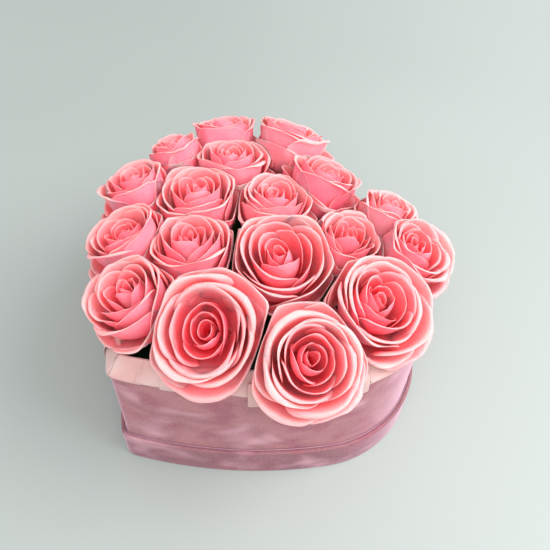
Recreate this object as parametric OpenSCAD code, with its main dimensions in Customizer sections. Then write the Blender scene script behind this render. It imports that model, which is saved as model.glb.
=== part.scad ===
// Heart-shaped flower box: a velvet box standing in its own upturned lid, with wet floral foam
// inside and eighteen roses pushed into it. Millimetres, +Z up, the tip of the heart towards -Y,
// origin on the underside, at the middle of the heart.

/* [Heart box] */
// Width across the two lobes, over the velvet
heart_w = 269; // [230:1:300]
// Height from the table to the rim, with the lid underneath
box_h = 125; // [112:1:145]
// Half of the angle between the two sides at the tip
tip_half = 58.6; // [56:0.2:61]
// Radius of the rounded tip
tip_r = 7; // [5:0.5:12]
// Thickness of the board of walls and bases
board_t = 2; // [1.5:0.1:3]
// Thickness of the velvet with its backing
velvet_t = 1.2; // [0.8:0.1:2]
// Thickness of the lining paper
paper_t = 0.5; // [0.4:0.1:0.8]
// Thickness of a layer of glue between two curved layers
glue_t = 0.1; // [0.05:0.05:0.3]

/* [Lid] */
// Height of the lid's rim above the table
lid_h = 34; // [20:1:50]
// Slip clearance between the lid and the box
lid_gap = 0.6; // [0.4:0.1:1.2]

/* [Foam and film] */
// Height of the block of wet floral foam
foam_h = 80; // [70:1:86]
// Clearance between the foam and the film
foam_gap = 0.6; // [0.3:0.1:2]
// Thickness of the waterproof film
film_t = 0.4; // [0.3:0.1:0.8]
// Height of the film above the foam
film_rise = 6; // [2:1:10]

/* [Ribbon collar] */
// Thickness of the ribbon
ribbon_t = 0.5; // [0.4:0.1:0.8]
// Depth of the strip that is glued inside the rim
strip_h = 24; // [15:1:30]
// Height of the pleats above the rim
pleat_rise = 2.5; // [1:0.5:3]
// Depth of the pleats below the rim
pleat_drop = 12; // [8:1:16]
// Depth of a pleat, from fold to fold
pleat_d = 3.2; // [2:0.2:4]
// Number of pleats on each half of the heart
pleats = 44; // [30:1:60]
// Length of the longest loose end that hangs over the wall
end_drop = 14; // [8:1:18]

/* [Roses] */
// Mean diameter of an open bloom
bloom_d = 70; // [58:1:76]
// Height of a bloom, from the hip to the petal tips
bloom_h = 50; // [42:1:56]
// Height of the hearts of the blooms at the edge above the rim
bloom_rise = 50; // [44:1:60]
// How much higher the middle blooms stand than those at the edge
dome_rise = 8; // [0:1:12]
// Gap between the petals of two neighbours
bloom_gap = 0.8; // [0.4:0.1:2]
// Diameter of a stem
stem_d = 6; // [4.5:0.5:8]
// Depth to which a stem is pushed into the foam
stem_depth = 50; // [30:1:60]
// Radial clearance of a stem in its hole
stem_clear = 0.3; // [0.15:0.05:0.6]
// Height of the hip under a bloom
hip_h = 10; // [7:0.5:13]
// Length of a sepal
sepal_l = 14; // [10:1:16]

/* [Hidden] */

velvet_rose = [0.74, 0.53, 0.60];
velvet_shade = [0.66, 0.44, 0.52];
paper_white = [0.93, 0.91, 0.88];
board_grey = [0.62, 0.60, 0.57];
film_clear = [0.80, 0.86, 0.88];
foam_green = [0.20, 0.42, 0.26];
ribbon_blush = [0.95, 0.86, 0.86];
petal_pink = [0.96, 0.60, 0.62];
stem_green = [0.36, 0.50, 0.24];

// ---- Heart outline -------------------------------------------------------------------------
// Each side is a flat arc, then a shoulder, then the top of the lobe down to the notch. The
// radii are shares of the heart's width. d is the inset from the velvet's outer face, so that
// every layer runs parallel to it. Headings are clockwise from +Y, and ahead() is the outward
// normal at a heading.
side_turn = 24.8;
shoulder_turn = 109.8;
side_share = 1.435;
shoulder_share = 0.332;
lobe_share = 0.21;

function ahead(a) = [cos(a), -sin(a)];
a_side = tip_half - side_turn;
a_lobe = a_side - shoulder_turn;
width_share = 2 * (shoulder_share - side_share * cos(tip_half)
                   + (side_share - shoulder_share) * cos(a_side));
heart_s = heart_w / width_share;
side_r = side_share * heart_s;
shoulder_r = shoulder_share * heart_s;
lobe_r = lobe_share * heart_s;

tip_to_side = [-side_r * cos(tip_half), side_r * sin(tip_half)];
tip_to_shoulder = tip_to_side + (side_r - shoulder_r) * ahead(a_side);
tip_to_lobe = tip_to_shoulder + (shoulder_r - lobe_r) * ahead(a_lobe);
heart_l = tip_to_lobe.y + lobe_r;
tip_y = -heart_l / 2;

side_c = tip_to_side + [0, tip_y];
shoulder_c = tip_to_shoulder + [0, tip_y];
lobe_c = tip_to_lobe + [0, tip_y];
tip_c = [0, side_c.y - sqrt(pow(side_r - tip_r, 2) - pow(side_c.x, 2))];
notch = [0, lobe_c.y + sqrt(lobe_r * lobe_r - lobe_c.x * lobe_c.x)];

a_tip = atan2(side_c.y - tip_c.y, tip_c.x - side_c.x);
a_notch = -acos(-lobe_c.x / lobe_r);
deg = 180 / PI;
side_len = side_r * (a_tip - a_side) / deg;
shoulder_len = shoulder_r * shoulder_turn / deg;
lobe_len = lobe_r * (a_lobe - a_notch) / deg;

// Length of one facet along the outline
facet = 6;
function arc(c, r, a, b, n) = [for (k = [0 : n]) c + r * ahead(a + (b - a) * k / n)];

function right_half(d) = concat(
    d < tip_r ? arc(tip_c, tip_r - d, 90, a_tip, 4)
              : [[0, side_c.y - sqrt(pow(side_r - d, 2) - pow(side_c.x, 2))]],
    [for (p = arc(side_c, side_r - d, a_tip, a_side, round(side_len / facet))) if (p.x > 0.5) p],
    arc(shoulder_c, shoulder_r - d, a_side, a_lobe, round(shoulder_len / facet)),
    arc(lobe_c, lobe_r - d, a_lobe,
        d > 0 ? a_notch : -acos(-lobe_c.x / (lobe_r - d)), round(lobe_len / facet)),
    d > 0 ? arc(notch, -d, a_notch, -90, 4) : []);

function mirrored(points) =
    [for (i = [len(points) - 1 : -1 : 0]) [-points[i].x, points[i].y]];

// Points closer together than this are one point
same = 0.01;
function merged(points) =
    [for (i = [0 : len(points) - 1])
        if (norm(points[i] - points[(i + 1) % len(points)]) > same) points[i]];

module heart(d) {
    half = right_half(d);
    polygon(merged(concat(half, mirrored(half))));
}

module plate(d, z0, z1) {
    translate([0, 0, z0]) linear_extrude(z1 - z0) heart(d);
}

module ring(d_out, d_in, z0, z1) {
    translate([0, 0, z0]) linear_extrude(z1 - z0) difference() {
        heart(d_out);
        heart(d_in);
    }
}

// ---- Stack of layers, from the table up -----------------------------------------------------
lid_board_z = velvet_t;
lid_lining_z = lid_board_z + board_t;
base_z = lid_lining_z + paper_t;
base_board_z = base_z + paper_t;
base_lining_z = base_board_z + board_t;
film_z = base_lining_z + paper_t;
foam_z = film_z + film_t;
foam_top = foam_z + foam_h;

// Insets of the layers of the box wall, from the velvet inwards
wall_board_d = velvet_t + glue_t;
wall_lining_d = wall_board_d + board_t + glue_t;
wall_in_d = wall_lining_d + paper_t;
film_d = wall_in_d + lid_gap;
foam_d = film_d + film_t + foam_gap;

// Insets of the layers of the lid rim, from the box outwards
lid_lining_d = -lid_gap - paper_t;
lid_board_d = lid_lining_d - glue_t - board_t;
lid_cover_d = lid_board_d - glue_t - velvet_t;

// ---- Lid --------------------------------------------------------------------------------------
module lid_cover() {
    color(velvet_shade) {
        plate(lid_cover_d, 0, lid_board_z);
        ring(lid_cover_d, lid_board_d - glue_t, lid_board_z, lid_h);
        ring(lid_board_d - glue_t, lid_lining_d - glue_t, lid_h - velvet_t, lid_h);
    }
}

module lid_rim_board() {
    color(board_grey) ring(lid_board_d, lid_lining_d - glue_t, lid_board_z, lid_h - velvet_t);
}

module lid_panel_board() {
    color(board_grey) plate(lid_lining_d, lid_board_z, lid_lining_z);
}

module lid_rim_lining() {
    color(paper_white) ring(lid_lining_d, -lid_gap, lid_lining_z, lid_h);
}

module lid_panel_lining() {
    color(paper_white) plate(-lid_gap + glue_t, lid_lining_z, base_z);
}

// ---- Box shell ----------------------------------------------------------------------------------
module wall_cover() {
    color(velvet_rose) {
        ring(0, velvet_t, base_z, box_h);
        ring(velvet_t, wall_in_d, box_h - velvet_t, box_h);
    }
}

module wall_board() {
    color(board_grey) ring(wall_board_d, wall_board_d + board_t, base_board_z, box_h - velvet_t);
}

module wall_lining() {
    color(paper_white) ring(wall_lining_d, wall_in_d, base_board_z, box_h - velvet_t);
}

module base_cover() {
    color(velvet_shade) plate(velvet_t + glue_t, base_z, base_board_z);
}

module base_board() {
    color(board_grey) plate(wall_in_d + glue_t, base_board_z, base_lining_z);
}

module base_lining() {
    color(paper_white) plate(wall_in_d + glue_t, base_lining_z, film_z);
}

module film_liner() {
    color(film_clear) {
        plate(film_d, film_z, foam_z);
        ring(film_d, film_d + film_t, foam_z, foam_top + film_rise);
    }
}

// ---- Roses: where each one stands -----------------------------------------------------------
// One row for each rose: where the heart of the bloom lies in plan, as percentages of the heart's
// width from the middle of the box, its size beside the mean bloom, how far it leans and towards
// which side in plan (0 is +X, 90 is +Y), and how far its petals are turned about its own axis.
roses = [
    [-47.5,  12.5, 0.70, 28,  170,   0],
    [-45.0,  32.0, 0.90, 30,  145,  40],
    [-26.5,  48.0, 1.02, 32,  105,  80],
    [-30.0,  22.5, 1.00, 14,  140, 120],
    [ -4.0,  40.0, 0.95, 28,   90, 190],
    [-42.0,  -8.0, 0.87, 24, -170, 200],
    [-24.5,   2.5, 1.07,  8, -170, 240],
    [ -6.0,  20.0, 0.93, 10,   95, 280],
    [ 18.5,  44.0, 0.74, 24,   80, 320],
    [ 18.5,  25.0, 0.80, 10,   45,   0],
    [ 35.0,  38.5, 0.95, 28,   40,  40],
    [-27.0, -23.0, 0.96, 26, -150,  80],
    [-10.0, -11.0, 1.00,  6,  180, 120],
    [ 12.0,   5.0, 1.20, 10,  -30, 160],
    [ -8.0, -36.0, 0.97, 26, -110, 200],
    [ 17.0, -28.5, 1.15, 34,  -55, 240],
    [ 41.5, -13.5, 1.03, 32,  -32, 300],
    [ 42.0,  14.5, 1.12, 26,    0, 320]
];
count = len(roses);

// All the stems point to one place below the box, so that each rose draws out freely.
focus_depth = 140;
focus = [0, 0, -focus_depth];

function unit(v) = v / norm(v);
function lean_axis(row) = [sin(row[3]) * cos(row[4]), sin(row[3]) * sin(row[4]), cos(row[3])];

axes = [for (row = roses) lean_axis(row)];
places = [for (row = roses) [row[0], row[1]] * heart_w / 100];
function dome(place) = dome_rise * (1 - pow(2 * norm(place) / heart_w, 2));
tops = [for (p = places) [p.x, p.y, box_h + bloom_rise + dome(p)]];
bases = [for (i = [0 : count - 1]) tops[i] - bloom_h * axes[i]];
necks = [for (i = [0 : count - 1]) bases[i] - hip_h * axes[i]];
rays = [for (i = [0 : count - 1]) unit(necks[i] - focus)];
tip_z = foam_top - stem_depth;
stem_tips = [for (i = [0 : count - 1]) focus + rays[i] * (tip_z - focus.z) / rays[i].z];

// ---- Room of each bloom -----------------------------------------------------------------------
// Neighbours press against each other on a plane through the focus, so that none of them lies in
// the way of another one that is drawn out. Each plane divides the angle between two blooms in
// the ratio of their sizes.
view = [for (i = [0 : count - 1]) unit(tops[i] - 0.6 * bloom_h * axes[i] - focus)];
neighbour_angle = 26;

function split_dir(i, j) =
    let (angle = acos(view[i] * view[j]), share = roses[i][2] / (roses[i][2] + roses[j][2]),
         side = unit(view[j] - (view[i] * view[j]) * view[i]))
    cos(angle * share) * view[i] + sin(angle * share) * side;

function split_normal(i, j) =
    let (m = split_dir(i, j)) unit(view[j] - (view[j] * m) * m);

walls = [for (i = [0 : count - 1])
            [for (j = [0 : count - 1]) if (j != i && acos(view[i] * view[j]) < neighbour_angle)
                split_normal(i, j)]];

// Share of the way from c to c + v at which the first wall stands
function room(c, v, planes) =
    min([for (n = planes) let (k = v * n)
            k > 0.001 ? (-bloom_gap / 2 - (c - focus) * n) / k : 1000]);

// Petals near a wall are pressed in softly, and never reach it
press_from = 0.85;
function pressed(s) =
    s < press_from ? s
                   : press_from + (1 - press_from) * (1 - exp((press_from - s) / (1 - press_from)));

function in_room(c, v, planes) =
    let (limit = room(c, v, planes)) c + v * limit * pressed(1 / limit);

// ---- Bloom ----------------------------------------------------------------------------------
// Rings of points from the hip out to the lip and back over the petals to the heart of the bloom.
// Each is its radius and height as shares of the bloom's, how much each petal overlaps the next
// one, and the turn of the petals about the axis.
petals = 5;
steps = 5;
around = petals * steps;
bloom_rings = [
    [0.20, 0.00, 0.00,  0],
    [0.40, 0.10, 0.03,  0],
    [0.72, 0.31, 0.06,  0],
    [0.91, 0.58, 0.07,  0],
    [1.00, 0.84, 0.10,  0],
    [0.93, 0.92, 0.10,  0],
    [0.76, 0.76, 0.06, 30],
    [0.72, 0.96, 0.09, 30],
    [0.65, 0.98, 0.09, 30],
    [0.50, 0.82, 0.06, 10],
    [0.46, 0.99, 0.08, 10],
    [0.40, 0.99, 0.08, 10],
    [0.28, 0.80, 0.05, 50],
    [0.21, 0.97, 0.05, 50],
    [0.10, 0.93, 0.04, 50]
];

function bloom_ring(i, row) =
    let (up = axes[i], e1 = unit(cross([0, 1, 0], up)), e2 = cross(up, e1),
         r = roses[i][2] * bloom_d / 2, c = bases[i] + up * row[1] * bloom_h)
    [for (k = [0 : around - 1])
        let (a = k * 360 / around + roses[i][5] + row[3], u = (k % steps + 0.5) / steps,
             reach = r * row[0] * (1 + row[2] * (0.5 - u + 0.6 * sin(180 * u))),
             lift = row[1] > 0 ? bloom_h * row[2] * 0.6 * (sin(180 * u) - 0.6) : 0)
        in_room(c + up * lift, reach * (cos(a) * e1 + sin(a) * e2), walls[i])];

module bloom(i) {
    rings = len(bloom_rings);
    last = rings * around;
    points = [for (row = bloom_rings) each bloom_ring(i, row), bases[i] + axes[i] * 0.9 * bloom_h];
    sides = [for (r = [0 : rings - 2]) for (k = [0 : around - 1])
                let (a = r * around + k, b = r * around + (k + 1) % around)
                each [[a, a + around, b], [b, a + around, b + around]]];
    heart_end = [for (k = [0 : around - 1])
                    [(rings - 1) * around + k, last, (rings - 1) * around + (k + 1) % around]];
    color(petal_pink) polyhedron(points, [[for (k = [0 : around - 1]) k], each sides, each heart_end]);
}

// ---- Stem with its hip and sepals ---------------------------------------------------------------
hip_r = 6;
knuckle_r = stem_d / 2 + 0.4;
sepals = 5;
sepal_w = 5;
sepal_t = 0.8;
sepal_droop = 64;

module along(from, to) {
    d = to - from;
    translate(from) rotate([0, acos(d.z / norm(d)), atan2(d.y, d.x)]) children();
}

module hip() {
    rotate_extrude($fn = 48) polygon([[0, 0], [stem_d / 2, 0], [hip_r, 0.5 * hip_h],
                                      [hip_r, 0.8 * hip_h], [0.8 * hip_r, hip_h], [0, hip_h]]);
}

module sepal() {
    translate([hip_r - 1, 0, 0.75 * hip_h]) rotate([0, sepal_droop, 0]) linear_extrude(sepal_t)
        polygon([[0, -sepal_w / 3], [sepal_l * 0.4, -sepal_w / 2], [sepal_l, 0],
                 [sepal_l * 0.4, sepal_w / 2], [0, sepal_w / 3]]);
}

module stem(i) {
    color(stem_green) {
        along(stem_tips[i], necks[i]) cylinder(h = norm(necks[i] - stem_tips[i]), d = stem_d, $fn = 48);
        translate(necks[i]) sphere(r = knuckle_r, $fn = 48);
        along(necks[i], bases[i]) {
            hip();
            for (k = [0 : sepals - 1]) rotate(k * 360 / sepals + roses[i][5]) sepal();
        }
    }
}

// ---- Foam ---------------------------------------------------------------------------------------
// One block is cut to the heart, and the stems make their own holes in it. Each hole is turned a
// little about its own axis, which keeps the seam of its wall away from its ends.
hole_floor = 0.3;
hole_turn = 7;

module stem_hole(i) {
    translate(-rays[i] * hole_floor) along(stem_tips[i], necks[i]) rotate(hole_turn)
        cylinder(h = stem_depth * 2, d = stem_d + 2 * stem_clear, $fn = 48);
}

module foam_block() {
    color(foam_green) difference() {
        plate(foam_d, foam_z, foam_top);
        for (i = [0 : count - 1]) stem_hole(i);
    }
}

// ---- Ribbon collar --------------------------------------------------------------------------
// A strip inside the rim carries the pleats. Its pleats stand a little above the rim.
strip_d = wall_in_d + glue_t;
pleat_in = strip_d + ribbon_t + glue_t;

module collar_strip() {
    color(ribbon_blush) ring(strip_d, strip_d + ribbon_t, box_h - strip_h, box_h);
}

// Point at inset d of the right half of the heart, s mm round from the tip's arc
half_len = side_len + shoulder_len + lobe_len;

function heading(s) =
    s < side_len ? a_tip - deg * s / side_r
    : s < side_len + shoulder_len ? a_side - deg * (s - side_len) / shoulder_r
    : a_lobe - deg * (s - side_len - shoulder_len) / lobe_r;

function outline(s, d) =
    s < side_len ? side_c + (side_r - d) * ahead(heading(s))
    : s < side_len + shoulder_len ? shoulder_c + (shoulder_r - d) * ahead(heading(s))
    : lobe_c + (lobe_r - d) * ahead(heading(s));

// The pleats start this share of their inset away from the tip, and go round the notch plain.
pleat_skip = 2.2;

function pleat_line(d) =
    let (s0 = pleat_skip * pleat_in)
    concat([for (i = [0 : 2 * pleats])
                outline(s0 + (half_len - s0) * i / (2 * pleats), i % 2 == 0 ? d : d + pleat_d)],
           arc(notch, -d, a_notch, -90, 4));

module collar_pleats() {
    right_out = pleat_line(pleat_in);
    right_in = pleat_line(pleat_in + ribbon_t);
    color(ribbon_blush) translate([0, 0, box_h - pleat_drop]) linear_extrude(pleat_drop + pleat_rise)
        difference() {
            polygon(concat(right_out, mirrored(right_out)));
            polygon(concat(right_in, mirrored(right_in)));
        }
}

// Loose ends of the ribbon lie on the rim and hang down over the velvet. Each is a side of the
// heart, 1 right or -1 left, a place on it as a share of the way from tip to notch, a width, and
// a share of the longest end's drop.
ribbon_ends = [
    [ 1, 0.135, 18, 0.7],
    [ 1, 0.195, 18, 0.6],
    [ 1, 0.248, 12, 1.0],
    [-1, 0.045, 11, 0.5],
    [-1, 0.480, 12, 0.8],
    [-1, 0.800, 12, 0.6],
    [ 1, 0.700, 12, 0.8]
];
end_gap = 0.7;

module ribbon_end(side, share, width, drop) {
    s = share * half_len;
    p = outline(s, 0);
    mirror([side < 0 ? 1 : 0, 0]) translate([p.x, p.y, box_h]) rotate(-heading(s)) {
        translate([-wall_in_d, -width / 2, 0])
            cube([wall_in_d + end_gap + ribbon_t, width, ribbon_t]);
        translate([end_gap, -width / 2, -drop]) cube([ribbon_t, width, drop + ribbon_t]);
    }
}

module collar_ends() {
    color(ribbon_blush) for (e = ribbon_ends) ribbon_end(e[0], e[1], e[2], e[3] * end_drop);
}

lid_cover();
lid_rim_board();
lid_panel_board();
lid_rim_lining();
lid_panel_lining();
wall_cover();
wall_board();
wall_lining();
base_cover();
base_board();
base_lining();
film_liner();
foam_block();
collar_strip();
collar_pleats();
collar_ends();
bloom(0);  // bloom_01
bloom(1);  // bloom_02
bloom(2);  // bloom_03
bloom(3);  // bloom_04
bloom(4);  // bloom_05
bloom(5);  // bloom_06
bloom(6);  // bloom_07
bloom(7);  // bloom_08
bloom(8);  // bloom_09
bloom(9);  // bloom_10
bloom(10);  // bloom_11
bloom(11);  // bloom_12
bloom(12);  // bloom_13
bloom(13);  // bloom_14
bloom(14);  // bloom_15
bloom(15);  // bloom_16
bloom(16);  // bloom_17
bloom(17);  // bloom_18
stem(0);  // stem_01
stem(1);  // stem_02
stem(2);  // stem_03
stem(3);  // stem_04
stem(4);  // stem_05
stem(5);  // stem_06
stem(6);  // stem_07
stem(7);  // stem_08
stem(8);  // stem_09
stem(9);  // stem_10
stem(10);  // stem_11
stem(11);  // stem_12
stem(12);  // stem_13
stem(13);  // stem_14
stem(14);  // stem_15
stem(15);  // stem_16
stem(16);  // stem_17
stem(17);  // stem_18
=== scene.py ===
"""Dresses the flower box: crushed velvet over the box and its upturned lid, a gathered ribbon
collar inside the rim, and eighteen open roses, each petal a thin sheet of its own.
Lengths are metres, in the frame of the CAD model: +Z up, the tip of the heart towards -Y."""
import math

import bmesh
import bpy
import numpy as np
from mathutils import Matrix, Vector


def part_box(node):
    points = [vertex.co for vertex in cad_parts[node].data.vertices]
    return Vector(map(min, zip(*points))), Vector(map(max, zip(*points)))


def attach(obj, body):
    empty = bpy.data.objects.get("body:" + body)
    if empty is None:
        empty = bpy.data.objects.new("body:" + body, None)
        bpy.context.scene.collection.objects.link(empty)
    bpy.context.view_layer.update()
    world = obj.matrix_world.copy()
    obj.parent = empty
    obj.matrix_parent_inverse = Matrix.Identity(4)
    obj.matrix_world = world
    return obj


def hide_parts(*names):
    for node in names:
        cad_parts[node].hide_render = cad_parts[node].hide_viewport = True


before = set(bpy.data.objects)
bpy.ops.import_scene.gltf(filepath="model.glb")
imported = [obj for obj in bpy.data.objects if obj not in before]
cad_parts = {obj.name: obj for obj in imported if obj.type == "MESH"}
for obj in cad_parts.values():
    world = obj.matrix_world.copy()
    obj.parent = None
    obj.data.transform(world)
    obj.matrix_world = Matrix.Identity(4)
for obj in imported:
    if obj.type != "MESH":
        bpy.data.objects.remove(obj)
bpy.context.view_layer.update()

MM = 0.001
SEED = 20


# ---- Sizes that repeat those of part.scad -------------------------------------------------------
HEART_W = 269 * MM
TIP_HALF, TIP_R = 58.6, 7 * MM
SIDE_TURN, SHOULDER_TURN = 24.8, 109.8
SIDE_SHARE, SHOULDER_SHARE, LOBE_SHARE = 1.435, 0.332, 0.21
VELVET_T, BOARD_T, PAPER_T, GLUE_T = 1.2 * MM, 2 * MM, 0.5 * MM, 0.1 * MM
LID_GAP = 0.6 * MM
RIBBON_T = 0.5 * MM
BLOOM_R, BLOOM_H, BLOOM_GAP = 35 * MM, 50 * MM, 0.8 * MM
BLOOM_RISE, DOME_RISE = 50 * MM, 8 * MM
HIP_H, HIP_R, STEM_R, STEM_DEPTH = 10 * MM, 6 * MM, 3 * MM, 50 * MM
FOCUS = np.array([0, 0, -140 * MM])
NEIGHBOUR_ANGLE = 26

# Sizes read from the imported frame
WALL_LO, WALL_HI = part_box("wall_cover")
LID_LO, LID_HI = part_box("lid_cover")
RIM_Z, BASE_Z, LID_Z = WALL_HI.z, WALL_LO.z, LID_HI.z
FOAM_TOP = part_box("foam_block")[1].z

# Insets of the layers from the velvet's outer face
WALL_IN_D = VELVET_T + GLUE_T + BOARD_T + GLUE_T + PAPER_T
STRIP_D = WALL_IN_D + GLUE_T
PLEAT_D = STRIP_D + RIBBON_T + GLUE_T
LID_IN_D = -LID_GAP - PAPER_T - GLUE_T
LID_OUT_D = LID_IN_D - BOARD_T - GLUE_T - VELVET_T

# One row for each rose: the heart of the bloom in plan as percentages of the heart's width, its
# size beside the mean bloom, its lean and the side it leans to, and the turn of its petals.
ROSES = [
    (-47.5, 12.5, 0.70, 28, 170, 0), (-45.0, 32.0, 0.90, 30, 145, 40),
    (-26.5, 48.0, 1.02, 32, 105, 80), (-30.0, 22.5, 1.00, 14, 140, 120),
    (-4.0, 40.0, 0.95, 28, 90, 190), (-42.0, -8.0, 0.87, 24, -170, 200),
    (-24.5, 2.5, 1.07, 8, -170, 240), (-6.0, 20.0, 0.93, 10, 95, 280),
    (18.5, 44.0, 0.74, 24, 80, 320), (18.5, 25.0, 0.80, 10, 45, 0),
    (35.0, 38.5, 0.95, 28, 40, 40), (-27.0, -23.0, 0.96, 26, -150, 80),
    (-10.0, -11.0, 1.00, 6, 180, 120), (12.0, 5.0, 1.20, 10, -30, 160),
    (-8.0, -36.0, 0.97, 26, -110, 200), (17.0, -28.5, 1.15, 34, -55, 240),
    (41.5, -13.5, 1.03, 32, -32, 300), (42.0, 14.5, 1.12, 26, 0, 320),
]

# How each rose has opened: how far its outer petals spread, how deep its heart lies (mm), how
# ruffled, pale and pointed its petals are, how wide the hollow round its heart is as a share of
# the bloom's radius, and how far the heart stands from the middle towards +X and +Y (mm).
LOOKS = [
    (0.10, 2, 0.7, 0.30, 0.0, 0.16, -2, 2), (0.45, 3, 0.7, 0.10, 0.1, 0.18, -2, 2),
    (0.65, 2, 1.0, 0.60, 0.1, 0.14, -4, -3), (0.40, 4, 0.4, 0.40, 0.1, 0.20, -5, 2),
    (0.35, 5, 0.6, 0.10, 0.2, 0.18, 1, 5), (0.35, 3, 0.5, 0.10, 0.1, 0.17, -5, 5),
    (0.30, 4, 0.4, 0.35, 0.1, 0.18, -2, 6), (0.25, 4, 0.4, 0.50, 0.2, 0.18, -6, 1),
    (0.55, 2, 1.0, 0.90, 0.1, 0.14, -2, 2), (0.20, 4, 0.3, 0.50, 0.9, 0.20, -2, 1),
    (0.80, 3, 0.9, 0.35, 0.2, 0.20, -8, -8), (0.25, 6, 0.3, 0.30, 0.1, 0.24, 3, 3),
    (0.15, 5, 0.4, 0.35, 0.1, 0.20, -6, 5), (0.35, 5, 0.4, 0.50, 0.2, 0.22, -7, -2),
    (0.30, 6, 0.4, 0.35, 0.3, 0.22, -4, 6), (0.70, 12, 0.7, 0.30, 0.1, 0.29, -2, 2),
    (0.75, 8, 0.8, 0.50, 0.1, 0.26, -3, 4), (0.75, 5, 0.6, 0.35, 0.2, 0.24, -9, 0),
]


# ---- Small helpers ------------------------------------------------------------------------------
def smooth(x, low=0.0, high=1.0):
    """Smooth step of x from 0 at low to 1 at high."""
    t = np.clip((x - low) / (high - low), 0, 1)
    return t * t * (3 - 2 * t)


def unit(v):
    return v / np.maximum(np.linalg.norm(v, axis=-1, keepdims=True), 1e-12)


def spline(points, t):
    """The Catmull-Rom curve through points, at t from 0 to 1."""
    p = np.array(points, float)
    p = np.vstack([2 * p[0] - p[1], p, 2 * p[-1] - p[-2]])
    x = np.clip(t, 0, 1) * (len(p) - 3)
    i = np.minimum(x.astype(int), len(p) - 4)
    f = (x - i)[..., None]
    a, b, c, d = p[i], p[i + 1], p[i + 2], p[i + 3]
    return 0.5 * (2 * b + (c - a) * f + (2 * a - 5 * b + 4 * c - d) * f**2
                  + (3 * b - a - 3 * c + d) * f**3)


def waves(rng, u, v, turns, count=4):
    """A smooth random field over u and v, of about -1 to 1."""
    total = 0
    for k in range(count):
        a, b = rng.uniform(-turns, turns, 2)
        total = total + np.sin(a * u + b * v + rng.uniform(0, 2 * math.pi))
    return total / math.sqrt(2 * count)


def linear(r, g, b):
    """A colour from its 0 to 255 numbers as linear RGBA."""
    def channel(c):
        c /= 255
        return c / 12.92 if c <= 0.04045 else ((c + 0.055) / 1.055) ** 2.4
    return channel(r), channel(g), channel(b), 1


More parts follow.
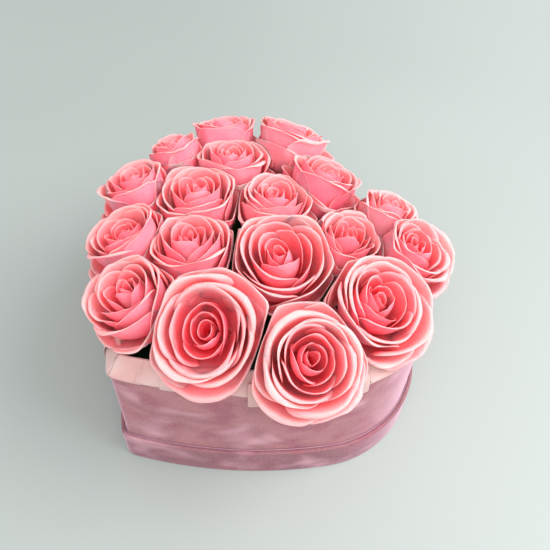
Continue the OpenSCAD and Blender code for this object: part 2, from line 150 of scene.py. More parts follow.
# ---- Meshes -------------------------------------------------------------------------------------
class Patches:
    """Collects grids of points as one mesh, with attributes at each point and a UV atlas."""

    def __init__(self, cells):
        self.points, self.faces, self.uvs, self.values = [], [], [], {}
        self.count, self.cell, self.side = 0, 0, math.ceil(math.sqrt(cells))

    def place(self, across, along):
        """UV corners of the next cell of the atlas for an across by along grid."""
        row, column = divmod(self.cell, self.side)
        self.cell += 1
        margin = 0.04
        u = (column + margin + (1 - 2 * margin) * np.linspace(0, 1, across)) / self.side
        v = (row + margin + (1 - 2 * margin) * np.linspace(0, 1, along)) / self.side
        return np.stack(np.meshgrid(u, v), -1)

    def shell(self, grid, thickness, around=False, **values):
        """A closed sheet on a grid of points, that many metres thick, with a rounded margin.
        One that goes around joins its last column to its first."""
        along, across = grid.shape[:2]
        wrapped = np.concatenate([grid[:, -1:], grid, grid[:, :1]], 1) if around else grid
        du = np.gradient(wrapped, axis=1)
        du = du[:, 1:-1] if around else du
        n = unit(np.cross(du, np.gradient(grid, axis=0)))
        half = np.broadcast_to(thickness, (along, across))[..., None] / 2
        index = np.arange(along * across).reshape(along, across)
        front = np.concatenate([index, index[:, :1]], 1) if around else index
        quads = np.stack([front[:-1, :-1], front[:-1, 1:], front[1:, 1:], front[1:, :-1]], -1)
        quads = [quads.reshape(-1, 4), quads.reshape(-1, 4)[:, ::-1] + along * across]
        uv = self.place(front.shape[1], along)
        corners = np.stack([uv[:-1, :-1], uv[:-1, 1:], uv[1:, 1:], uv[1:, :-1]], 2)
        uvs = [corners.reshape(-1, 4, 2)]
        uv = self.place(front.shape[1], along)
        corners = np.stack([uv[1:, :-1], uv[1:, 1:], uv[:-1, 1:], uv[:-1, :-1]], 2)
        uvs += [corners.reshape(-1, 4, 2)]
        rims, start = [], 2 * along * across
        for i, j in self.margins(along, across, around):
            inner = grid[np.clip(i, 1, along - 2), j if around else np.clip(j, 1, across - 2)]
            rims.append((i, j, grid[i, j] + unit(grid[i, j] - inner) * half[i, j]))
            edge, middle = index[i, j], start + np.arange(len(i))
            start += len(i)
            for one, two in ((edge, middle), (middle, edge + along * across)):
                quads.append(np.stack([np.roll(one, -1), one, two, np.roll(two, -1)], -1))
                place = uv[i, j]
                following = np.roll(place, -1, 0)
                uvs.append(np.stack([following, place, place, following], 1))
        points = [(grid + n * half).reshape(-1, 3), (grid - n * half).reshape(-1, 3)]
        self.add(np.concatenate(points + [rim for _, _, rim in rims]),
                 np.concatenate(quads), np.concatenate(uvs))
        flat = np.ones(along * across)
        sides = [flat, -flat] + [np.zeros(len(i)) for i, _, _ in rims]
        self.values.setdefault("side", []).append(np.concatenate(sides))
        for key, value in values.items():
            value = np.broadcast_to(np.asarray(value, float), (along, across))
            value = [value.ravel(), value.ravel()] + [value[i, j] for i, j, _ in rims]
            self.values.setdefault(key, []).append(np.concatenate(value))

    @staticmethod
    def margins(along, across, around):
        """The rows and columns of the points round each margin of a grid."""
        j, i = np.arange(across), np.arange(along)
        if around:
            return [(0 * j, j), (0 * j + along - 1, j[::-1])]
        rows = [0 * j, i[1:], 0 * j[1:] + along - 1, i[-2:0:-1]]
        columns = [j, 0 * i[1:] + across - 1, j[-2::-1], 0 * i[-2:0:-1]]
        return [(np.concatenate(rows), np.concatenate(columns))]

    def add(self, points, quads, uvs):
        self.points.append(points)
        self.faces.append(quads + self.count)
        self.uvs.append(uvs)
        self.count += len(points)

    def build(self, name, material):
        """The collected patches as a smooth object."""
        points, quads = np.concatenate(self.points), np.concatenate(self.faces)
        mesh = bpy.data.meshes.new(name)
        mesh.vertices.add(len(points))
        mesh.vertices.foreach_set("co", points.astype(np.float32).ravel())
        mesh.loops.add(quads.size)
        mesh.loops.foreach_set("vertex_index", quads.astype(np.int32).ravel())
        mesh.polygons.add(len(quads))
        mesh.polygons.foreach_set("loop_start", np.arange(0, quads.size, 4, dtype=np.int32))
        mesh.update(calc_edges=True)
        mesh.polygons.foreach_set("use_smooth", np.ones(len(quads), bool))
        layer = mesh.uv_layers.new(name="OFBake")
        layer.data.foreach_set("uv", np.concatenate(self.uvs).astype(np.float32).ravel())
        for key, value in self.values.items():
            attribute = mesh.attributes.new(key, "FLOAT", "POINT")
            attribute.data.foreach_set("value", np.concatenate(value).astype(np.float32))
        return finished(bpy.data.objects.new(name, mesh), material)


def finished(obj, material):
    obj.data.materials.clear()
    obj.data.materials.append(material)
    bpy.context.scene.collection.objects.link(obj)
    return obj


def piece(obj, body, slot, *nodes):
    """obj rides on body and stands for the CAD nodes, which it hides; slot is not used."""
    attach(obj, body)
    if nodes:
        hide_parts(*nodes)
    return obj


# ---- Heart outline ------------------------------------------------------------------------------
def ahead(a):
    """The outward normal at a heading, in degrees clockwise from +Y."""
    a = np.radians(a)
    return np.stack([np.cos(a), -np.sin(a)], -1)


A_SIDE = TIP_HALF - SIDE_TURN
A_LOBE = A_SIDE - SHOULDER_TURN
HEART_S = HEART_W / (2 * (SHOULDER_SHARE - SIDE_SHARE * math.cos(math.radians(TIP_HALF))
                          + (SIDE_SHARE - SHOULDER_SHARE) * math.cos(math.radians(A_SIDE))))
SIDE_R, SHOULDER_R, LOBE_R = (s * HEART_S for s in (SIDE_SHARE, SHOULDER_SHARE, LOBE_SHARE))
SIDE_C = SIDE_R * np.array([-math.cos(math.radians(TIP_HALF)), math.sin(math.radians(TIP_HALF))])
SHOULDER_C = SIDE_C + (SIDE_R - SHOULDER_R) * ahead(A_SIDE)
LOBE_C = SHOULDER_C + (SHOULDER_R - LOBE_R) * ahead(A_LOBE)
MIDDLE = np.array([0, (LOBE_C[1] + LOBE_R) / 2])
SIDE_C, SHOULDER_C, LOBE_C = (c - MIDDLE for c in (SIDE_C, SHOULDER_C, LOBE_C))
TIP_C = np.array([0, SIDE_C[1] - math.sqrt((SIDE_R - TIP_R) ** 2 - SIDE_C[0] ** 2)])
A_TIP = math.degrees(math.atan2(SIDE_C[1] - TIP_C[1], TIP_C[0] - SIDE_C[0]))
NOTCH = np.array([0, LOBE_C[1] + math.sqrt(LOBE_R**2 - LOBE_C[0] ** 2)])


def notch_heading(d):
    """The heading at which the lobe's arc, inset by d, ends at the notch."""
    return -math.degrees(math.acos(-LOBE_C[0] / (LOBE_R - min(d, 0))))


LENGTHS = np.array([math.radians(A_TIP - A_SIDE) * SIDE_R, math.radians(SHOULDER_TURN) * SHOULDER_R,
                    math.radians(A_LOBE - notch_heading(0)) * LOBE_R])
HALF_LEN = LENGTHS.sum()
ARC_STEPS = (8, 50, 80, 56, 6)


def heart(d):
    """The closed outline at inset d, from the tip over the right lobe to the notch and back."""
    tip, side, shoulder, lobe, round_notch = ARC_STEPS
    arcs = [(TIP_C, TIP_R - d, 90, A_TIP, tip), (SIDE_C, SIDE_R - d, A_TIP, A_SIDE, side),
            (SHOULDER_C, SHOULDER_R - d, A_SIDE, A_LOBE, shoulder),
            (LOBE_C, LOBE_R - d, A_LOBE, notch_heading(d), lobe)]
    right = [c + r * ahead(np.linspace(a, b, n, endpoint=False)) for c, r, a, b, n in arcs]
    end = NOTCH if d > 0 else np.array([0, LOBE_C[1] + math.sqrt((LOBE_R - d) ** 2 - LOBE_C[0] ** 2)])
    right.append(end - max(d, 0) * ahead(np.linspace(notch_heading(0), -90, round_notch)))
    right = np.concatenate(right)
    return np.concatenate([right, right[-2:0:-1] * [-1, 1]])


def from_tip(s, d):
    """Points at inset d and s metres from the middle of the tip, round the right half."""
    tip_len = math.radians(90 - A_TIP) * TIP_R
    beyond, _ = on_heart(np.maximum(s - tip_len, 0), d)
    turn = 90 - np.degrees(np.clip(s, 0, tip_len) / TIP_R)
    tip = TIP_C + np.maximum(TIP_R - d, 0.3 * MM)[..., None] * ahead(turn)
    points = np.where((s < tip_len)[..., None], tip, beyond)
    return np.maximum(points, [0.2 * MM, -1])


def heart_area(d):
    """Area inside the outline at inset d."""
    p = heart(d)
    q = np.roll(p, -1, 0)
    return float(abs((p[:, 0] * q[:, 1] - p[:, 1] * q[:, 0]).sum()) / 2)


def on_heart(s, d):
    """Points at inset d and s metres round the right half from the tip's arc, and their headings."""
    s, d = np.broadcast_arrays(np.asarray(s, float), np.asarray(d, float))
    one, two = LENGTHS[0], LENGTHS[0] + LENGTHS[1]
    heading = np.where(s < one, A_TIP - np.degrees(s / SIDE_R),
                       np.where(s < two, A_SIDE - np.degrees((s - one) / SHOULDER_R),
                                A_LOBE - np.degrees((s - two) / LOBE_R)))
    pick = [(s < one)[..., None], (s < two)[..., None]]
    centre = np.where(pick[0], SIDE_C, np.where(pick[1], SHOULDER_C, LOBE_C))
    radius = np.where(s < one, SIDE_R, np.where(s < two, SHOULDER_R, LOBE_R))
    return centre + (radius - d)[..., None] * ahead(heading), heading


# ---- Materials ----------------------------------------------------------------------------------
class Shader:
    """A material with one Principled shader, and short calls for the nodes before it."""

    def __init__(self, name, roughness=0.5, **sockets):
        self.material = bpy.data.materials.new(name)
        self.material.use_nodes = True
        self.nodes, self.links = self.material.node_tree.nodes, self.material.node_tree.links
        self.bsdf = self.nodes["Principled BSDF"]
        self.set(self.bsdf, {"Roughness": roughness, **sockets})

    def set(self, node, sockets):
        for key, value in sockets.items():
            if isinstance(value, bpy.types.NodeSocket):
                self.links.new(value, node.inputs[key])
            else:
                node.inputs[key].default_value = value
        return node

    def node(self, kind, sockets=None, **properties):
        node = self.nodes.new(kind)
        for key, value in properties.items():
            setattr(node, key, value)
        return self.set(node, sockets or {})

    def read(self, name):
        """A number kept at the mesh's points."""
        return self.node("ShaderNodeAttribute", attribute_name=name).outputs["Fac"]

    def where(self):
        return self.node("ShaderNodeTexCoord").outputs["Object"]

    def stretched(self, vector, scale):
        return self.node("ShaderNodeMapping", {"Vector": vector, "Scale": scale}).outputs[0]

    def noise(self, vector, scale, detail=3, roughness=0.5, distortion=0.0):
        return self.node("ShaderNodeTexNoise", {
            "Vector": vector, "Scale": scale, "Detail": detail, "Roughness": roughness,
            "Distortion": distortion}).outputs["Fac"]

    def ramp(self, value, low, high, to_low=0.0, to_high=1.0):
        return self.node("ShaderNodeMapRange", {
            "Value": value, "From Min": low, "From Max": high, "To Min": to_low,
            "To Max": to_high}, interpolation_type="SMOOTHSTEP").outputs[0]

    def math(self, operation, one, two=0.0):
        node = self.nodes.new("ShaderNodeMath")
        node.operation = operation
        return self.set(node, {0: one, 1: two}).outputs[0]

    def mix(self, factor, one, two, blend="MIX"):
        node = self.node("ShaderNodeMix", data_type="RGBA", blend_type=blend)
        return self.set(node, {0: factor, 6: one, 7: two}).outputs[2]

    def bump(self, height, depth, strength=1.0, normal=None):
        sockets = {"Height": height, "Distance": depth, "Strength": strength}
        if normal:
            sockets["Normal"] = normal
        return self.node("ShaderNodeBump", sockets).outputs[0]

    def finish(self, **sockets):
        self.set(self.bsdf, {key.replace("_", " "): value for key, value in sockets.items()})
        return self.material


def petal_material():
    """Coral inside, deeper towards each petal's foot and the heart: partly the petals' own colour and
    partly painted shade in the folds and the hollow. Cooler pink outside, with pale lips that are
    partly their own colour and partly a painted highlight on the rolled margins, and fine veins
    along each petal."""
    m = Shader("petal", 0.6, **{
        "Specular IOR Level": 0.2, "Subsurface Weight": 0.7, "Subsurface Scale": 4 * MM,
        "Subsurface Radius": (1.0, 0.35, 0.32)})
    side, up, lip, deep = m.read("side"), m.read("up"), m.read("lip"), m.read("deep")
    across, tint, pale = m.read("across"), m.read("tint"), m.read("pale")
    patch = m.noise(m.where(), 70, 3)
    # The deep and low colours towards the heart and each petal's foot are partly the petals' own deeper
    # colour and partly painted shade in the folds and the hollow.
    high = m.mix(m.ramp(deep, 0.0, 1.0), linear(255, 168, 166), linear(255, 120, 128))
    middle = m.mix(m.ramp(deep, 0.0, 1.0), linear(255, 124, 132), linear(255, 74, 92))
    low = m.mix(m.ramp(up, 0.10, 0.60), linear(255, 40, 66), middle)
    inside = m.mix(m.ramp(up, 0.55, 1.0), low, high)
    outside = m.mix(m.ramp(up, 0.1, 0.9), linear(250, 88, 116), linear(252, 122, 142))
    colour = m.mix(m.ramp(side, -0.2, 0.2), inside, outside)
    # Pale lips: partly the petals' own paler margin, partly a painted highlight along the rolled lips.
    colour = m.mix(m.math("MULTIPLY", m.ramp(lip, 0.0, 1.0), 0.4), colour, linear(255, 168, 168))
    colour = m.mix(m.math("MULTIPLY", m.ramp(lip, 0.85, 1.0), 0.2), colour, linear(255, 194, 190))
    colour = m.mix(m.math("MULTIPLY", m.ramp(patch, 0.35, 0.75), 0.2), colour,
                   linear(255, 196, 196))
    colour = m.mix(m.math("MULTIPLY", tint, 0.15), colour, linear(255, 104, 124))
    colour = m.mix(m.math("MULTIPLY", pale, 0.28), colour, linear(255, 208, 206))
    vein_at = m.node("ShaderNodeCombineXYZ", {"X": across, "Y": m.math("MULTIPLY", up, 0.12)})
    vein = m.noise(vein_at.outputs[0], 46, 2, 0.6)
    colour = m.mix(m.math("MULTIPLY", m.ramp(vein, 0.5, 0.75), 0.08), colour,
                   linear(255, 98, 116))
    crumple = m.bump(m.noise(m.where(), 260, 2), 0.25 * MM, 0.3)
    return m.finish(Base_Color=colour, Normal=m.bump(vein, 0.2 * MM, 0.35, crumple))


def velvet_material(name, light, dark):
    """Crushed velvet: soft smears where the nap lies another way, and a painted sheen that turns the
    colour paler and lilac at grazing view, besides the shader's own sheen.
    """
    m = Shader(name, 0.85, **{"Specular IOR Level": 0.15, "Sheen Weight": 0.35,
                              "Sheen Roughness": 0.35, "Sheen Tint": linear(240, 206, 220)})
    where = m.where()
    smear = m.stretched(where, (1.0, 1.0, 1.4))
    broad = m.noise(smear, 22, 2, 0.45, 0.5)
    blot = m.noise(smear, 34, 1, 0.4, 0.2)
    fine = m.noise(m.stretched(where, (1, 1, 0.6)), 900, 2, 0.6)
    colour = m.mix(m.ramp(broad, 0.35, 0.68), light, dark)
    spot = m.ramp(blot, 0.50, 0.70)
    colour = m.mix(m.math("MULTIPLY", spot, 0.7), colour, linear(140, 78, 92))
    shine = m.ramp(m.noise(smear, 21, 2, 0.45, 0.4), 0.50, 0.76)
    colour = m.mix(m.math("MULTIPLY", shine, 0.6), colour, linear(218, 170, 182))
    colour = m.mix(m.math("MULTIPLY", m.ramp(fine, 0.3, 0.7), 0.16), colour,
                   linear(222, 174, 184))
    # Painted sheen: the base colour turns paler and lilac towards grazing view.
    painted_sheen_facing = m.node("ShaderNodeLayerWeight", {"Blend": 0.35}).outputs["Facing"]
    colour = m.mix(m.math("MULTIPLY", m.ramp(painted_sheen_facing, 0.45, 1.0), 0.6), colour,
                   linear(232, 190, 214))
    pile = m.bump(fine, 0.3 * MM, 0.4)
    return m.finish(Base_Color=colour, Normal=m.bump(broad, 2.0 * MM, 0.35, pile),
                    Roughness=m.ramp(blot, 0.3, 0.7, 0.72, 0.92))


def ribbon_material():
    """Satin ribbon, blush in places, with a fine weave across it; its pale colour is painted darker and
    greyer all over as painted shade.
    """
    m = Shader("ribbon", 0.5, **{"Specular IOR Level": 0.35, "Sheen Weight": 0.25,
                                 "Subsurface Weight": 0.15, "Subsurface Scale": 1.5 * MM,
                                 "Subsurface Radius": (1.0, 0.7, 0.65)})
    where = m.where()
    # Both colours are the pale ribbon painted darker and greyer: painted shade.
    colour = m.mix(m.ramp(m.noise(where, 24, 2), 0.42, 0.62), linear(198, 166, 162),
                   linear(192, 148, 146))
    weave = m.noise(m.stretched(where, (1, 1, 7)), 700, 2)
    colour = m.mix(m.math("MULTIPLY", m.ramp(weave, 0.4, 0.7), 0.18), colour,
                   linear(180, 146, 144))
    return m.finish(Base_Color=colour, Normal=m.bump(weave, 0.1 * MM, 0.5))


def green_material():
    """Stem and sepals: mottled green with redder streaks."""
    m = Shader("rose_green", 0.5, **{"Specular IOR Level": 0.35})
    where = m.where()
    colour = m.mix(m.ramp(m.noise(where, 90, 4), 0.35, 0.7), linear(84, 108, 52),
                   linear(128, 146, 78))
    streak = m.noise(m.stretched(where, (1, 1, 0.12)), 600, 2)
    colour = m.mix(m.math("MULTIPLY", m.ramp(streak, 0.5, 0.8), 0.5), colour,
                   linear(150, 92, 70))
    return m.finish(Base_Color=colour, Normal=m.bump(streak, 0.3 * MM, 0.6))


def foam_material():
    """Wet floral foam: dark green with open pores."""
    m = Shader("wet_foam", 0.75, **{"Specular IOR Level": 0.4})
    where = m.where()
    pores = m.node("ShaderNodeTexVoronoi", {"Vector": where, "Scale": 900}).outputs["Distance"]
    colour = m.mix(m.ramp(m.noise(where, 35, 4), 0.3, 0.7), linear(28, 62, 40), linear(52, 92, 58))
    colour = m.mix(m.math("MULTIPLY", m.ramp(pores, 0.1, 0.5), 0.4), colour, linear(22, 46, 32))
    return m.finish(Base_Color=colour, Normal=m.bump(pores, 0.6 * MM, 0.8))


def paper_material(name, light, dark, scale=160):
    """Board or paper, with long fibres."""
    m = Shader(name, 0.8, **{"Specular IOR Level": 0.2})
    where = m.where()
    fibre = m.noise(m.stretched(where, (1, 0.35, 1)), scale, 5, 0.65, 0.6)
    speck = m.noise(where, 1500, 1)
    colour = m.mix(m.ramp(fibre, 0.3, 0.7), light, dark)
    colour = m.mix(m.math("MULTIPLY", m.ramp(speck, 0.62, 0.75), 0.35), colour, dark)
    return m.finish(Base_Color=colour, Normal=m.bump(fibre, 0.2 * MM, 0.5))


def film_material():
    """Clear film with faint creases."""
    m = Shader("clear_film", 0.12, **{"Alpha": 0.35, "Specular IOR Level": 0.6})
    crease = m.noise(m.where(), 60, 3, 0.6, 1.5)
    colour = m.mix(m.ramp(crease, 0.4, 0.6), linear(205, 220, 222), linear(228, 236, 236))
    return m.finish(Base_Color=colour, Normal=m.bump(crease, 1.5 * MM, 0.5))


# ---- Velvet box and lid ---------------------------------------------------------------------------
def corner(d, z, r, a, b, steps=5):
    """Profile points on a rounded corner about (d, z), from angle a to b in degrees."""
    angles = np.radians(np.linspace(a, b, steps))
    return [(d - r * math.cos(t), z + r * math.sin(t)) for t in angles]


def swept(name, profile, material, capped=False):
    """A profile of (inset, height) points swept round the heart, closed or with flat ends."""
    rings = [np.column_stack([heart(d), np.full(len(heart(0)), z)]) for d, z in profile]
    count = len(rings[0])
    bm = bmesh.new()
    verts = [[bm.verts.new(p) for p in ring] for ring in rings]
    for i in range(len(rings) - 1 if capped else len(rings)):
        a, b = verts[i], verts[(i + 1) % len(rings)]
        for k in range(count):
            n = (k + 1) % count
            bm.faces.new([a[k], a[n], b[n], b[k]])
    if capped:
        bm.faces.new(verts[0])
        bm.faces.new(verts[-1][::-1])
    bmesh.ops.remove_doubles(bm, verts=bm.verts, dist=1e-6)
    bmesh.ops.dissolve_degenerate(bm, edges=bm.edges, dist=1e-6)
    bmesh.ops.recalc_face_normals(bm, faces=bm.faces)
    mesh = bpy.data.meshes.new(name)
    bm.to_mesh(mesh)
    bm.free()
    for polygon in mesh.polygons:
        polygon.use_smooth = len(polygon.vertices) < 5
    return finished(bpy.data.objects.new(name, mesh), material)


def velvet_wall(material):
    """The wall's velvet, rolled over the rim."""
    r = 1.3 * MM
    rows = [(0, BASE_Z + r + t * (RIM_Z - BASE_Z - 2 * r)) for t in np.linspace(0, 1, 14)]
    profile = ([(VELVET_T, BASE_Z)] + corner(r, BASE_Z + r, r, -80, 0, 4)[:-1] + rows
               + corner(r, RIM_Z - r, r, 10, 90) + corner(WALL_IN_D - r, RIM_Z - r, r, 90, 180)
               + [(WALL_IN_D, RIM_Z - VELVET_T - 0.2 * MM), (VELVET_T, RIM_Z - VELVET_T - 0.2 * MM)])
    return swept("wall_velvet", profile, material)


def velvet_lid(material):
    """The lid's velvet: round the rim, over its edge and across the panel underneath."""
    r, low = 1.65 * MM, 1.4 * MM
    inside = LID_IN_D - GLUE_T
    rows = [(LID_OUT_D, low + t * (LID_Z - r - low)) for t in np.linspace(0, 1, 6)]
    profile = (corner(LID_OUT_D + low, low, low, -90, -10) + rows
               + corner(LID_OUT_D + r, LID_Z - r, r, 10, 90)
               + [(inside - 0.4 * MM, LID_Z - 0.1 * MM), (inside, LID_Z - 0.6 * MM),
                  (inside, LID_Z - VELVET_T), (LID_OUT_D + VELVET_T, LID_Z - VELVET_T),
                  (LID_OUT_D + VELVET_T, VELVET_T)])
    return swept("lid_velvet", profile, material, capped=True)


# ---- Ribbon collar ------------------------------------------------------------------------------
LOOP_STEP, LOOP_TUCK = 21 * MM, 12 * MM
GATHER_T, BAND_H = 0.4 * MM, 24 * MM
# The loops nearest the tip on each side rise higher above the rim than the others. Millimetres.
FRONT_LOOPS = 7
FRONT_RISE, BACK_RISE = (12, 16), (7, 10)


def collar_gather(material, rng):
    """The gathered ribbon inside the rim: wide flat loops, each over the edge of the next, that
    rise above the rim and fold down over it."""
    count = int(HALF_LEN / LOOP_STEP)
    patches = Patches(4 * count)
    total, length = 0.0, 0.0
    for side in (1, -1):
        for k in range(count):
            width = LOOP_STEP * rng.uniform(1.15, 1.5)
            rise = rng.uniform(*(FRONT_RISE if k < FRONT_LOOPS else BACK_RISE))
            lap, skew = rng.uniform(0, 4.5), rng.uniform(-5, 5)
            u = np.linspace(-0.5, 0.5, 15)[None, :]
            v = np.linspace(0, 1, 26)[:, None]
            inside, back = PLEAT_D + 1.2 * MM, rng.uniform(10, 12.5) * MM
            path = [(inside, -LOOP_TUCK), (inside + 0.6 * MM, -1 * MM), (back, 0.55 * rise * MM),
                    (back + 0.4 * MM, 0.92 * rise * MM), (back - 1.6 * MM, rise * MM),
                    (0.42 * back, 0.55 * rise * MM), (-0.9 * MM, 1.2 * MM), (-1.5 * MM, -lap * MM)]
            line = spline(path, v + 0 * u)
            sway, out = waves(rng, 2 * u, v, 3), smooth(v, 0.35, 1)
            d = line[..., 0] + (0.4 * u + 0.35 * sway * smooth(v, 0.2, 0.6) - 0.3) * MM
            z = RIM_Z + line[..., 1] + (0.5 * sway + skew * u) * out * MM
            s = (k + 0.5) * LOOP_STEP + u * width
            points = from_tip(np.clip(s, 0, HALF_LEN - PLEAT_D), d)
            grid = np.concatenate([points * [side, 1], z[..., None]], -1)
            patches.shell(grid if side > 0 else grid[:, ::-1], GATHER_T)
            total += width
            length += float(np.linalg.norm(np.diff(grid[:, 7], axis=0), axis=1).sum())
    return patches.build("collar_gather", material), (length / (2 * count), total)


def collar_band(material):
    """The flat strip glued inside the rim."""
    outline = heart(STRIP_D + RIBBON_T / 2)
    heights = np.linspace(RIM_Z - BAND_H, RIM_Z - 0.2 * MM, 5)
    grid = np.array([np.column_stack([outline, np.full(len(outline), z)]) for z in heights])
    patches = Patches(2)
    patches.shell(grid, RIBBON_T * 0.9, around=True)
    length = float(np.linalg.norm(outline - np.roll(outline, 1, 0), axis=1).sum())
    return patches.build("collar_band", material), (heights[-1] - heights[0], length)


# Each loose end: side of the heart, place as a share of the way from tip to notch, width, length
# outside the rim, how much longer its one edge hangs, and how far it stands off. Millimetres.
ENDS = [
    (1, 0.248, 15, 12, 0, 3.0), (-1, 0.050, 13, 9, 3, 2.5), (-1, 0.480, 13, 11, 3, 2.0),
    (-1, 0.800, 13, 9, -2, 2.0), (1, 0.420, 13, 7, 2, 2.0), (1, 0.700, 13, 11, 2, 2.0),
]


def ribbon_end(name, row, material, rng):
    """One end of the ribbon: up from inside the rim, over it, and down the velvet."""
    side, share, width, drop, skew, stand = row
    u = np.linspace(-0.5, 0.5, 15)[None, :]
    v = np.linspace(0, 1, 30)[:, None]
    path = [(WALL_IN_D + 2.2 * MM, -9 * MM), (WALL_IN_D + 1.4 * MM, -2 * MM),
            (WALL_IN_D - 1.0 * MM, 7 * MM), (WALL_IN_D / 2, 10 * MM), (-1.4 * MM, 6 * MM),
            (-2.6 * MM, -0.5 * MM), (-(2.2 + stand * 0.3) * MM, -drop * 0.6 * MM),
            (-(2.0 + stand * 0.5) * MM, -drop * MM)]
    line = spline(path, v + 0 * u)
    hang = smooth(v, 0.5, 1.0)
    fold = waves(rng, 3 * u, 2 * v, 3)
    d = line[..., 0] - (0.35 + 0.35 * fold) * hang * MM
    z = RIM_Z + line[..., 1] - skew * u * hang * MM - 0.5 * hang * fold * MM
    s = share * HALF_LEN + u * width * MM + 0 * v
    points, _ = on_heart(s, d)
    grid = np.concatenate([points * [side, 1], z[..., None]], -1)
    patches = Patches(2)
    patches.shell(grid, GATHER_T)
    length = float(np.linalg.norm(np.diff(grid[:, 7], axis=0), axis=1).sum())
    return patches.build(name, material), (width * MM, length)


# ---- Where the roses stand ------------------------------------------------------------------------
# Share of the room to a neighbour from which petals are pressed in, and the lean in degrees from
# which the petals on a rose's low side hang free.
PRESS_FROM = 0.80
FREE_LEAN = 24


class Rose:
    """Place, axis and room of one rose, as in part.scad."""

    def __init__(self, row):
        x, y, size, lean, towards, spin = row
        lean, to = math.radians(lean), math.radians(towards)
        self.size, self.spin = size, math.radians(spin)
        self.up = np.array([math.sin(lean) * math.cos(to), math.sin(lean) * math.sin(to),
                            math.cos(lean)])
        dome = DOME_RISE * (1 - (math.hypot(x, y) / 50) ** 2)
        self.top = np.array([x / 100 * HEART_W, y / 100 * HEART_W, RIM_Z + BLOOM_RISE + dome])
        self.base = self.top - BLOOM_H * self.up
        self.neck = self.base - HIP_H * self.up
        self.ray = unit(self.neck - FOCUS)
        self.tip = FOCUS + self.ray * (FOAM_TOP - STEM_DEPTH - FOCUS[2]) / self.ray[2]
        self.e1 = unit(np.cross([0, 1, 0], self.up))
        self.e2 = np.cross(self.up, self.e1)
        self.view = unit(self.top - 0.6 * BLOOM_H * self.up - FOCUS)
        self.side_lean = unit(np.array([self.e1 @ [self.up[0], self.up[1], 0],
                                        self.e2 @ [self.up[0], self.up[1], 0]]))
        self.free = min(math.degrees(lean) / FREE_LEAN, 1) ** 2
        self.walls = []

    def meet(self, other):
        """Adds the wall towards a neighbour, through the focus."""
        along = float(self.view @ other.view)
        angle = math.acos(along)
        if math.degrees(angle) >= NEIGHBOUR_ANGLE:
            return
        share = self.size / (self.size + other.size)
        side = unit(other.view - along * self.view)
        middle = math.cos(angle * share) * self.view + math.sin(angle * share) * side
        self.walls.append(unit(other.view - (other.view @ middle) * middle))

    def across(self, x, y):
        """A way in plan, as local x and y of the bloom."""
        way = np.array([x, y, 0])
        return np.array([way @ self.e1, way @ self.e2, 0])

    def place(self, local):
        """Local points, x and y across and z up the bloom, in the frame of the CAD model."""
        return (self.base + local[..., :1] * self.e1 + local[..., 1:2] * self.e2
                + local[..., 2:] * self.up)

    def pressed(self, points):
        """Points pressed in softly where they near a neighbour's room."""
        height = (points - self.base) @ self.up
        centre = self.base + height[..., None] * self.up
        v = points - centre
        limit = np.full(points.shape[:-1], 1e3)
        for n in self.walls:
            towards = v @ n
            room = (-BLOOM_GAP / 2 - (centre - FOCUS) @ n) / np.where(towards > 1e-7, towards, 1)
            limit = np.where(towards > 1e-7, np.minimum(limit, room), limit)
        s = 1 / np.maximum(limit, 1e-6)
        soft = PRESS_FROM + (1 - PRESS_FROM) * (1 - np.exp((PRESS_FROM - s) / (1 - PRESS_FROM)))
        share = np.where(s < PRESS_FROM, s, soft) / s
        return centre + v * share[..., None]


# ---- Petals ---------------------------------------------------------------------------------------
# The whorls of petals from the outside in: how many, radius and height of the lip as shares of the
# bloom's, half width in degrees, and depth in the bloom from 0 to 1. The first are guard petals.
WHORLS = [
    (5, 0.97, 0.88, 62, 0.00), (4, 0.83, 0.93, 70, 0.10), (4, 0.68, 0.96, 66, 0.32),
    (3, 0.52, 0.99, 78, 0.55), (3, 0.37, 0.99, 82, 0.74), (3, 0.24, 0.98, 88, 0.90),
    (2, 0.12, 0.96, 125, 1.00),
]
# Points across and along a petal, and its thickness before and at its lip
ACROSS, ALONG = 33, 22
PETAL_T, LIP_T = 0.46 * MM, 0.26 * MM


def petal_profile(depth, radius, height, flare):
    """Radius and height from a petal's foot to its lip."""
    foot = 0.16 - 0.12 * depth
    low = 0.02 + 0.18 * depth
    bend = 0.98 - 0.25 * flare
    close = 1 - 0.22 * smooth(depth, 0.6, 1)
    return [(foot, low), (0.58 * radius * bend + 0.02, low + 0.09),
            (0.86 * radius * bend, 0.24 * height + 0.8 * low + 0.09),
            (0.99 * radius * bend, 0.62 * height + 0.04), (radius * (0.4 + 0.6 * close), height * 0.90),
            (radius * close * (1 + 0.5 * flare), height)]


def petal_crown(u, inner, ruffle, pointed, rng):
    """How far up its length a petal reaches at each u from -1 to 1 across it: cut back at the
    sides, peaked in the middle, and ruffled."""
    cut = (0.34 + 0.18 * inner) * rng.uniform(0.85, 1.15)
    leaning = 0.22 * rng.uniform(-1, 1)
    peak = (0.10 * pointed + 0.045) * np.exp(-(u / 0.17) ** 2) - 0.10 * pointed
    crown = 1 - cut * np.abs(u + leaning * (1 - u**2)) ** 2.3 + peak
    crown = crown + (0.016 + 0.055 * ruffle) * waves(rng, u, 0, 9) + 0.018 * waves(rng, u, 0, 20)
    return np.clip(crown, 0.2, 1.0)


def near_margin(u, v, along, half_width):
    """Distance to the nearest margin of a petal, rounded where lip and side meet."""
    length = np.linalg.norm(along, axis=-1).sum(0)[None, :]
    from_top = (1 - v) * length + 1e-4
    from_side = 1.6 * (1 - np.abs(u)) * half_width + 1e-4
    return 1 / np.hypot(1 / from_top, 1 / from_side)


